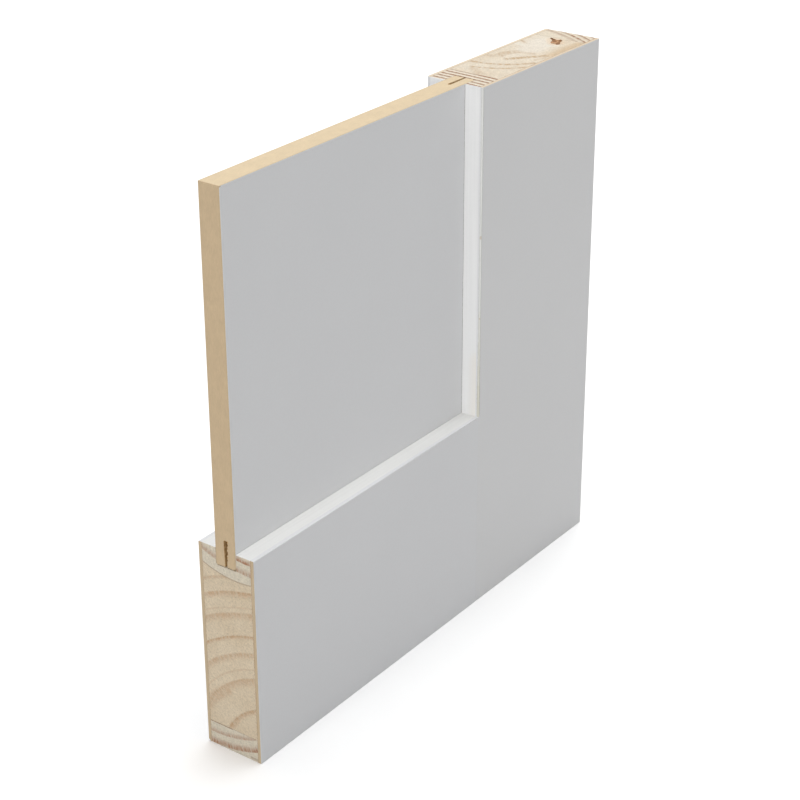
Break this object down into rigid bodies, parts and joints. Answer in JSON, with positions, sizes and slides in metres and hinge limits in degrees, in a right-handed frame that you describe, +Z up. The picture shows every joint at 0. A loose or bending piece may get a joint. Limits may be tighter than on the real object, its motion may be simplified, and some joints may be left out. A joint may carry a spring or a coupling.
{
  "type": "interior door corner sample",
  "caption": "Corner sample of a primed flat-panel interior door, sawn to show the laminated stile and rail, their grooved edge bands and a kerfed fibreboard panel.",
  "frame": {"origin": "middle of the foot, half way through the door's thickness", "axes": "+Z up, the front face looks along -Y, the stile is on the +X side and the rail's sawn end on the -X side"},
  "size_m": [0.3048, 0.035, 0.3048],
  "materials": {
    "pine_core": "bare sawn softwood with broad growth rings",
    "pine_band": "softwood, bare where it is sawn and primed white where it shows beside the panel",
    "primed_skin": "thin fibreboard with matt white primer, bare tan at the sawn ends",
    "primed_panel": "fibreboard with matt white primer on both faces, bare tan at the sawn ends",
    "hardwood": "bare turned hardwood"
  },
  "bodies": {
    "root": {"stile_core": "pine_core", "stile_inner_band": "pine_band", "stile_outer_band": "pine_band", "stile_front_skin": "primed_skin", "stile_back_skin": "primed_skin", "rail_core": "pine_core", "rail_inner_band": "pine_band", "rail_outer_band": "pine_band", "rail_front_skin": "primed_skin", "rail_back_skin": "primed_skin", "panel": "primed_panel", "dowel_lower": "hardwood", "dowel_upper": "hardwood"}
  },
  "joints": []
}
